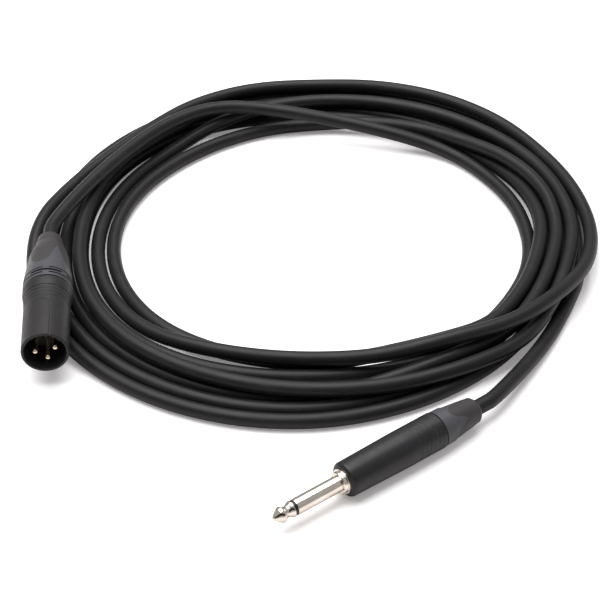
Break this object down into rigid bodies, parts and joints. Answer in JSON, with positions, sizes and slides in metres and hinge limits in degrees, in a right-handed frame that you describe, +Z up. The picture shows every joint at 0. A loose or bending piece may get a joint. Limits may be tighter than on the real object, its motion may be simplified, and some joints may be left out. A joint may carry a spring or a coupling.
{
  "type": "microphone cable",
  "caption": "Coiled black microphone cable with a male three-pin XLR at one end and a mono jack plug at the other; both cable glands unscrew.",
  "frame": {"origin": "on the floor under the middle of the two connectors' box, which leaves out the cord", "axes": "+Z up; -Y the way the XLR's mouth faces; +X to the right of it"},
  "size_m": [0.2498, 0.3059, 0.0269],
  "materials": {
    "xlr_housing": "black chrome, satin",
    "insert_plastic": "dark moulded plastic",
    "contact_metal": "pale gold plate, polished",
    "spring_metal": "plain spring strip",
    "solder": "bright solder",
    "bushing_plastic": "blue-grey moulded plastic",
    "boot_rubber": "soft moulded rubber",
    "chuck_plastic": "slit collet, plain",
    "cord_jacket": "black flexible jacket, satin",
    "hot_wire": "red insulation",
    "cold_wire": "white insulation",
    "copper_strand": "twisted bare copper",
    "jack_metal": "polished nickel",
    "jack_housing": "black anodised, satin",
    "insulator_black": "black moulded ring",
    "liner_plastic": "thin insulating tube"
  },
  "bodies": {
    "lead": {"xlr_shell": "xlr_housing", "xlr_insert": "insert_plastic", "xlr_pin_1": "contact_metal", "xlr_pin_2": "contact_metal", "xlr_pin_3": "contact_metal", "xlr_ground_spring": "spring_metal", "xlr_solder": "solder", "xlr_shield_pigtail": "copper_strand", "xlr_hot_core": "hot_wire", "xlr_cold_core": "cold_wire", "xlr_jacket_end": "cord_jacket", "jack_tip_contact": "jack_metal", "jack_insulating_ring": "insulator_black", "jack_sleeve": "jack_metal", "jack_inner_insulator": "insulator_black", "jack_sleeve_terminal": "spring_metal", "jack_tip_lug": "spring_metal", "jack_liner": "liner_plastic", "jack_shell": "jack_housing", "jack_hot_core": "hot_wire", "jack_shield_pigtail": "copper_strand", "jack_solder": "solder", "jack_jacket_end": "cord_jacket", "xlr_lead": "cord_jacket", "cord_coil": "cord_jacket", "jack_lead": "cord_jacket"},
    "xlr_gland_slider": {"xlr_chuck": "chuck_plastic"},
    "xlr_gland": {"xlr_bushing": "bushing_plastic", "xlr_boot": "boot_rubber"},
    "jack_gland_slider": {"jack_chuck": "chuck_plastic"},
    "jack_gland": {"jack_bushing": "bushing_plastic", "jack_boot": "boot_rubber"}
  },
  "joints": [
    {"name": "xlr_gland_travel", "type": "slide", "parent": "lead", "child": "xlr_gland_slider", "axis": [0, 1, 0], "range_m": [0, 0.006]},
    {"name": "xlr_gland_turn", "type": "hinge", "parent": "xlr_gland_slider", "child": "xlr_gland", "pos_m": [-0.07805, 0.0524, 0.0166], "axis": [0, 1, 0], "range_deg": [0, 2160]},
    {"name": "jack_gland_travel", "type": "slide", "parent": "lead", "child": "jack_gland_slider", "axis": [0.8406, 0.5417, 0], "range_m": [0, 0.006]},
    {"name": "jack_gland_turn", "type": "hinge", "parent": "jack_gland_slider", "child": "jack_gland", "pos_m": [0.0715, -0.04006, 0.0074], "axis": [0.8406, 0.5417, 0], "range_deg": [0, 2160]}
  ],
  "couplings": [
    {"joint": "xlr_gland_turn", "follows": "xlr_gland_travel", "rad_per_m": 6283.2},
    {"joint": "jack_gland_turn", "follows": "jack_gland_travel", "rad_per_m": 6283.2}
  ]
}
